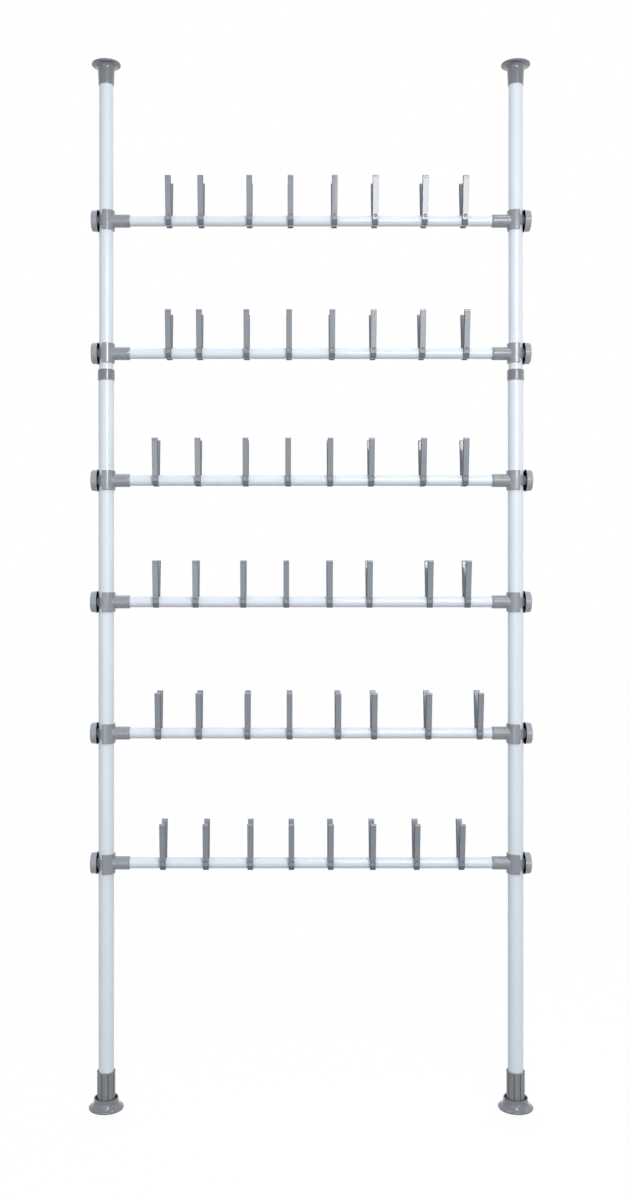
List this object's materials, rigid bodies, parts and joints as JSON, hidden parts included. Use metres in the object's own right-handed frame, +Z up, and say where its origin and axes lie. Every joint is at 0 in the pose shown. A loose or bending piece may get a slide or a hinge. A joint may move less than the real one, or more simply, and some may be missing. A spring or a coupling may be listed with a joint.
{
  "type": "shoe rack",
  "caption": "Tension shoe rack: two telescopic poles between floor and ceiling, height-adjustable cross rails clamped by knobs, and clip-on forked shoe hooks.",
  "frame": {"origin": "on the floor, midway between the two poles", "axes": "+Z up, +X to the right seen from the front, the front faces -Y"},
  "size_m": [0.955, 0.075, 2.244],
  "materials": {
    "white_coated_steel": "smooth satin white coating",
    "grey_plastic": "mid-grey moulded plastic, satin",
    "bright_steel": "plain turned steel"
  },
  "bodies": {
    "poles": {"left_outer_tube": "white_coated_steel", "right_outer_tube": "white_coated_steel", "left_guide_collar": "grey_plastic", "right_guide_collar": "grey_plastic"},
    "left_upper": {"left_inner_tube": "white_coated_steel", "left_ceiling_cap": "grey_plastic"},
    "left_grip": {"left_jack_grip": "grey_plastic"},
    "left_foot_jack": {"left_foot": "grey_plastic", "left_jack_spindle": "bright_steel"},
    "right_upper": {"right_inner_tube": "white_coated_steel", "right_ceiling_cap": "grey_plastic"},
    "right_grip": {"right_jack_grip": "grey_plastic"},
    "right_foot_jack": {"right_foot": "grey_plastic", "right_jack_spindle": "bright_steel"},
    "rail_1_unit": {"rail_1": "white_coated_steel", "rail_1_left_bracket": "grey_plastic", "rail_1_right_bracket": "grey_plastic"},
    "rail_1_left_knob": {"rail_1_left_knob": "grey_plastic"},
    "rail_1_right_knob": {"rail_1_right_knob": "grey_plastic"},
    "hook_1_1": {"hook_1_1": "grey_plastic"},
    "hook_1_2": {"hook_1_2": "grey_plastic"},
    "hook_1_3": {"hook_1_3": "grey_plastic"},
    "hook_1_4": {"hook_1_4": "grey_plastic"},
    "hook_1_5": {"hook_1_5": "grey_plastic"},
    "hook_1_6": {"hook_1_6": "grey_plastic"},
    "hook_1_7": {"hook_1_7": "grey_plastic"},
    "hook_1_8": {"hook_1_8": "grey_plastic"},
    "rail_2_unit": {"rail_2": "white_coated_steel", "rail_2_left_bracket": "grey_plastic", "rail_2_right_bracket": "grey_plastic"},
    "rail_2_left_knob": {"rail_2_left_knob": "grey_plastic"},
    "rail_2_right_knob": {"rail_2_right_knob": "grey_plastic"},
    "hook_2_1": {"hook_2_1": "grey_plastic"},
    "hook_2_2": {"hook_2_2": "grey_plastic"},
    "hook_2_3": {"hook_2_3": "grey_plastic"},
    "hook_2_4": {"hook_2_4": "grey_plastic"},
    "hook_2_5": {"hook_2_5": "grey_plastic"},
    "hook_2_6": {"hook_2_6": "grey_plastic"},
    "hook_2_7": {"hook_2_7": "grey_plastic"},
    "hook_2_8": {"hook_2_8": "grey_plastic"},
    "rail_3_unit": {"rail_3": "white_coated_steel", "rail_3_left_bracket": "grey_plastic", "rail_3_right_bracket": "grey_plastic"},
    "rail_3_left_knob": {"rail_3_left_knob": "grey_plastic"},
    "rail_3_right_knob": {"rail_3_right_knob": "grey_plastic"},
    "rail_4_unit": {"rail_4": "white_coated_steel", "rail_4_left_bracket": "grey_plastic", "rail_4_right_bracket": "grey_plastic"},
    "rail_4_left_knob": {"rail_4_left_knob": "grey_plastic"},
    "rail_4_right_knob": {"rail_4_right_knob": "grey_plastic"},
    "rail_5_unit": {"rail_5": "white_coated_steel", "rail_5_left_bracket": "grey_plastic", "rail_5_right_bracket": "grey_plastic"},
    "rail_5_left_knob": {"rail_5_left_knob": "grey_plastic"},
    "rail_5_right_knob": {"rail_5_right_knob": "grey_plastic"},
    "rail_6_unit": {"rail_6": "white_coated_steel", "rail_6_left_bracket": "grey_plastic", "rail_6_right_bracket": "grey_plastic"},
    "rail_6_left_knob": {"rail_6_left_knob": "grey_plastic"},
    "rail_6_right_knob": {"rail_6_right_knob": "grey_plastic"}
  },
  "joints": [
    {"name": "left_telescope", "type": "slide", "parent": "poles", "child": "left_upper", "axis": [0, 0, 1], "range_m": [-0.01, 0.75]},
    {"name": "left_grip_turn", "type": "hinge", "parent": "poles", "child": "left_grip", "pos_m": [-0.44, 0, 0.045], "axis": [0, 0, 1], "range_deg": [0, 2701]},
    {"name": "left_foot_extension", "type": "slide", "parent": "poles", "child": "left_foot_jack", "axis": [0, 0, -1], "range_m": [0, 0.03]},
    {"name": "right_telescope", "type": "slide", "parent": "poles", "child": "right_upper", "axis": [0, 0, 1], "range_m": [-0.01, 0.75]},
    {"name": "right_grip_turn", "type": "hinge", "parent": "poles", "child": "right_grip", "pos_m": [0.44, 0, 0.045], "axis": [0, 0, 1], "range_deg": [0, 2701]},
    {"name": "right_foot_extension", "type": "slide", "parent": "poles", "child": "right_foot_jack", "axis": [0, 0, -1], "range_m": [0, 0.03]},
    {"name": "rail_1_height", "type": "slide", "parent": "left_upper", "child": "rail_1_unit", "axis": [0, 0, 1], "range_m": [-0.075, 0.24]},
    {"name": "rail_1_left_knob_turn", "type": "hinge", "parent": "rail_1_unit", "child": "rail_1_left_knob", "pos_m": [-0.4644, 0, 1.906], "axis": [1, 0, 0], "range_deg": [0, 720]},
    {"name": "rail_1_right_knob_turn", "type": "hinge", "parent": "rail_1_unit", "child": "rail_1_right_knob", "pos_m": [0.4644, 0, 1.906], "axis": [-1, 0, 0], "range_deg": [0, 720]},
    {"name": "hook_1_1_slide", "type": "slide", "parent": "rail_1_unit", "child": "hook_1_1", "axis": [1, 0, 0], "range_m": [-0.025, 0.025]},
    {"name": "hook_1_2_slide", "type": "slide", "parent": "rail_1_unit", "child": "hook_1_2", "axis": [1, 0, 0], "range_m": [-0.025, 0.025]},
    {"name": "hook_1_3_slide", "type": "slide", "parent": "rail_1_unit", "child": "hook_1_3", "axis": [1, 0, 0], "range_m": [-0.025, 0.025]},
    {"name": "hook_1_4_slide", "type": "slide", "parent": "rail_1_unit", "child": "hook_1_4", "axis": [1, 0, 0], "range_m": [-0.025, 0.025]},
    {"name": "hook_1_5_slide", "type": "slide", "parent": "rail_1_unit", "child": "hook_1_5", "axis": [1, 0, 0], "range_m": [-0.025, 0.025]},
    {"name": "hook_1_6_slide", "type": "slide", "parent": "rail_1_unit", "child": "hook_1_6", "axis": [1, 0, 0], "range_m": [-0.025, 0.025]},
    {"name": "hook_1_7_slide", "type": "slide", "parent": "rail_1_unit", "child": "hook_1_7", "axis": [1, 0, 0], "range_m": [-0.025, 0.025]},
    {"name": "hook_1_8_slide", "type": "slide", "parent": "rail_1_unit", "child": "hook_1_8", "axis": [1, 0, 0], "range_m": [-0.025, 0.025]},
    {"name": "rail_2_height", "type": "slide", "parent": "left_upper", "child": "rail_2_unit", "axis": [0, 0, 1], "range_m": [0, 0.075]},
    {"name": "rail_2_left_knob_turn", "type": "hinge", "parent": "rail_2_unit", "child": "rail_2_left_knob", "pos_m": [-0.4644, 0, 1.621], "axis": [1, 0, 0], "range_deg": [0, 720]},
    {"name": "rail_2_right_knob_turn", "type": "hinge", "parent": "rail_2_unit", "child": "rail_2_right_knob", "pos_m": [0.4644, 0, 1.621], "axis": [-1, 0, 0], "range_deg": [0, 720]},
    {"name": "hook_2_1_slide", "type": "slide", "parent": "rail_2_unit", "child": "hook_2_1", "axis": [1, 0, 0], "range_m": [-0.025, 0.025]},
    {"name": "hook_2_2_slide", "type": "slide", "parent": "rail_2_unit", "child": "hook_2_2", "axis": [1, 0, 0], "range_m": [-0.025, 0.025]},
    {"name": "hook_2_3_slide", "type": "slide", "parent": "rail_2_unit", "child": "hook_2_3", "axis": [1, 0, 0], "range_m": [-0.025, 0.025]},
    {"name": "hook_2_4_slide", "type": "slide", "parent": "rail_2_unit", "child": "hook_2_4", "axis": [1, 0, 0], "range_m": [-0.025, 0.025]},
    {"name": "hook_2_5_slide", "type": "slide", "parent": "rail_2_unit", "child": "hook_2_5", "axis": [1, 0, 0], "range_m": [-0.025, 0.025]},
    {"name": "hook_2_6_slide", "type": "slide", "parent": "rail_2_unit", "child": "hook_2_6", "axis": [1, 0, 0], "range_m": [-0.025, 0.025]},
    {"name": "hook_2_7_slide", "type": "slide", "parent": "rail_2_unit", "child": "hook_2_7", "axis": [1, 0, 0], "range_m": [-0.025, 0.025]},
    {"name": "hook_2_8_slide", "type": "slide", "parent": "rail_2_unit", "child": "hook_2_8", "axis": [1, 0, 0], "range_m": [-0.025, 0.025]},
    {"name": "rail_3_height", "type": "slide", "parent": "poles", "child": "rail_3_unit", "axis": [0, 0, 1], "range_m": [-0.075, 0.075]},
    {"name": "rail_3_left_knob_turn", "type": "hinge", "parent": "rail_3_unit", "child": "rail_3_left_knob", "pos_m": [-0.4644, 0, 1.348], "axis": [1, 0, 0], "range_deg": [0, 720]},
    {"name": "rail_3_right_knob_turn", "type": "hinge", "parent": "rail_3_unit", "child": "rail_3_right_knob", "pos_m": [0.4644, 0, 1.348], "axis": [-1, 0, 0], "range_deg": [0, 720]},
    {"name": "rail_4_height", "type": "slide", "parent": "poles", "child": "rail_4_unit", "axis": [0, 0, 1], "range_m": [-0.075, 0.075]},
    {"name": "rail_4_left_knob_turn", "type": "hinge", "parent": "rail_4_unit", "child": "rail_4_left_knob", "pos_m": [-0.4644, 0, 1.087], "axis": [1, 0, 0], "range_deg": [0, 720]},
    {"name": "rail_4_right_knob_turn", "type": "hinge", "parent": "rail_4_unit", "child": "rail_4_right_knob", "pos_m": [0.4644, 0, 1.087], "axis": [-1, 0, 0], "range_deg": [0, 720]},
    {"name": "rail_5_height", "type": "slide", "parent": "poles", "child": "rail_5_unit", "axis": [0, 0, 1], "range_m": [-0.075, 0.075]},
    {"name": "rail_5_left_knob_turn", "type": "hinge", "parent": "rail_5_unit", "child": "rail_5_left_knob", "pos_m": [-0.4644, 0, 0.805], "axis": [1, 0, 0], "range_deg": [0, 720]},
    {"name": "rail_5_right_knob_turn", "type": "hinge", "parent": "rail_5_unit", "child": "rail_5_right_knob", "pos_m": [0.4644, 0, 0.805], "axis": [-1, 0, 0], "range_deg": [0, 720]},
    {"name": "rail_6_height", "type": "slide", "parent": "poles", "child": "rail_6_unit", "axis": [0, 0, 1], "range_m": [-0.35, 0.075]},
    {"name": "rail_6_left_knob_turn", "type": "hinge", "parent": "rail_6_unit", "child": "rail_6_left_knob", "pos_m": [-0.4644, 0, 0.526], "axis": [1, 0, 0], "range_deg": [0, 720]},
    {"name": "rail_6_right_knob_turn", "type": "hinge", "parent": "rail_6_unit", "child": "rail_6_right_knob", "pos_m": [0.4644, 0, 0.526], "axis": [-1, 0, 0], "range_deg": [0, 720]}
  ],
  "couplings": [
    {"joint": "right_telescope", "follows": "left_telescope", "ratio": 1},
    {"joint": "left_grip_turn", "follows": "left_foot_extension", "rad_per_m": 1570.8},
    {"joint": "right_grip_turn", "follows": "right_foot_extension", "rad_per_m": 1570.8}
  ]
}
